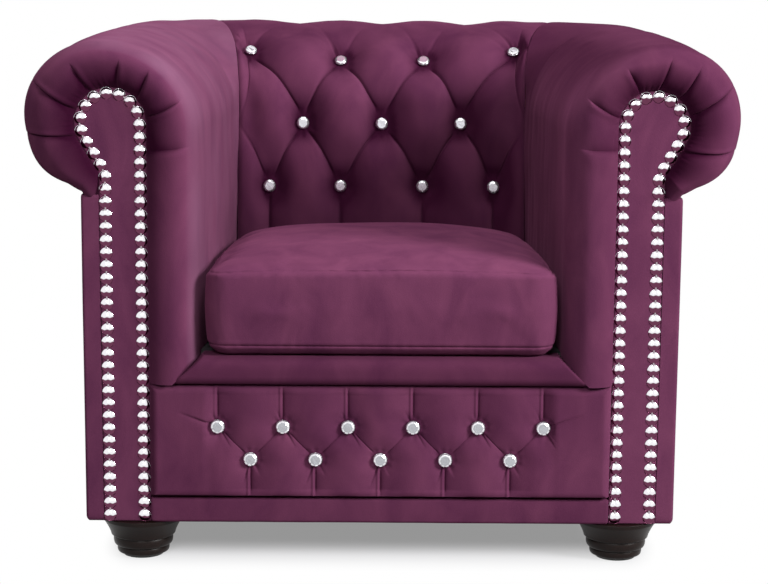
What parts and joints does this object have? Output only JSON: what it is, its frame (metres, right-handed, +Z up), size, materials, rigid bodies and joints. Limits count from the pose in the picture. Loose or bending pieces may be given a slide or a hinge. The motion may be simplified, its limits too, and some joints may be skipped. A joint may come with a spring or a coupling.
{
  "type": "tufted roll-arm club chair",
  "caption": "Velvet club chair with rolled arms, deep-buttoned back, tufted front rail, nail-head arm facings, loose boxed seat cushion and short turned feet.",
  "frame": {"origin": "centre of the bounding box in plan, on the floor plane under the feet", "axes": "+Z up, front faces -Y, +X towards the chair's right-hand side as the camera sees it, symmetric about the YZ plane"},
  "size_m": [1.0496, 0.865, 0.7873],
  "materials": {
    "plum_velvet": "matte",
    "foam": "matte",
    "frame_wood": "matte",
    "fibreboard": "matte",
    "dark_wood": "satin",
    "nail_metal": "polished",
    "crystal": "polished",
    "webbing": "matte",
    "dust_cloth": "matte",
    "bolt_steel": "satin",
    "glide_nylon": "matte",
    "zip_tape": "matte"
  },
  "bodies": {
    "chair": {"left_arm_cover": "plum_velvet", "right_arm_cover": "plum_velvet", "left_arm_foam": "foam", "right_arm_foam": "foam", "left_arm_facing": "plum_velvet", "right_arm_facing": "plum_velvet", "left_arm_nails": "nail_metal", "right_arm_nails": "nail_metal", "left_outside_panel": "plum_velvet", "right_outside_panel": "plum_velvet", "outside_back_panel": "plum_velvet", "left_arm_board": "frame_wood", "right_arm_board": "frame_wood", "left_arm_top_rail": "frame_wood", "right_arm_top_rail": "frame_wood", "left_arm_tack_rail": "frame_wood", "right_arm_tack_rail": "frame_wood", "left_arm_inner_panel": "fibreboard", "right_arm_inner_panel": "fibreboard", "left_roll_former": "fibreboard", "right_roll_former": "fibreboard", "back_roll_former": "fibreboard", "back_cover": "plum_velvet", "back_foam": "foam", "back_buttons": "crystal", "back_button_cups": "nail_metal", "back_post_left": "frame_wood", "back_post_right": "frame_wood", "back_top_rail": "frame_wood", "back_lower_rail": "frame_wood", "back_webbing": "webbing", "front_border": "plum_velvet", "front_panel_cover": "plum_velvet", "front_panel_pad": "foam", "front_ply_panel": "frame_wood", "bottom_band": "plum_velvet", "front_buttons": "crystal", "front_button_cups": "nail_metal", "seat_rail_front": "frame_wood", "seat_rail_rear": "frame_wood", "seat_rail_left": "frame_wood", "seat_rail_right": "frame_wood", "front_corner_blocks": "frame_wood", "seat_webbing_long": "webbing", "seat_webbing_cross": "webbing", "deck_pad": "foam", "dust_cover": "dust_cloth", "foot_front_left": "dark_wood", "foot_front_right": "dark_wood", "foot_rear_left": "dark_wood", "foot_rear_right": "dark_wood", "foot_bolts": "bolt_steel", "foot_glides": "glide_nylon"},
    "seat_cushion": {"cushion_core": "foam", "cushion_top_panel": "plum_velvet", "cushion_boxing": "plum_velvet", "cushion_bottom_panel": "plum_velvet", "cushion_zip": "zip_tape"},
    "zip_slider": {"zip_slider": "nail_metal"}
  },
  "joints": [
    {"name": "cushion_lift", "type": "slide", "parent": "chair", "child": "seat_cushion", "axis": [0, 0, 1], "range_m": [0, 0.52]},
    {"name": "zip_slide", "type": "slide", "parent": "seat_cushion", "child": "zip_slider", "axis": [-1, 0, 0], "range_m": [0, 0.38]}
  ]
}
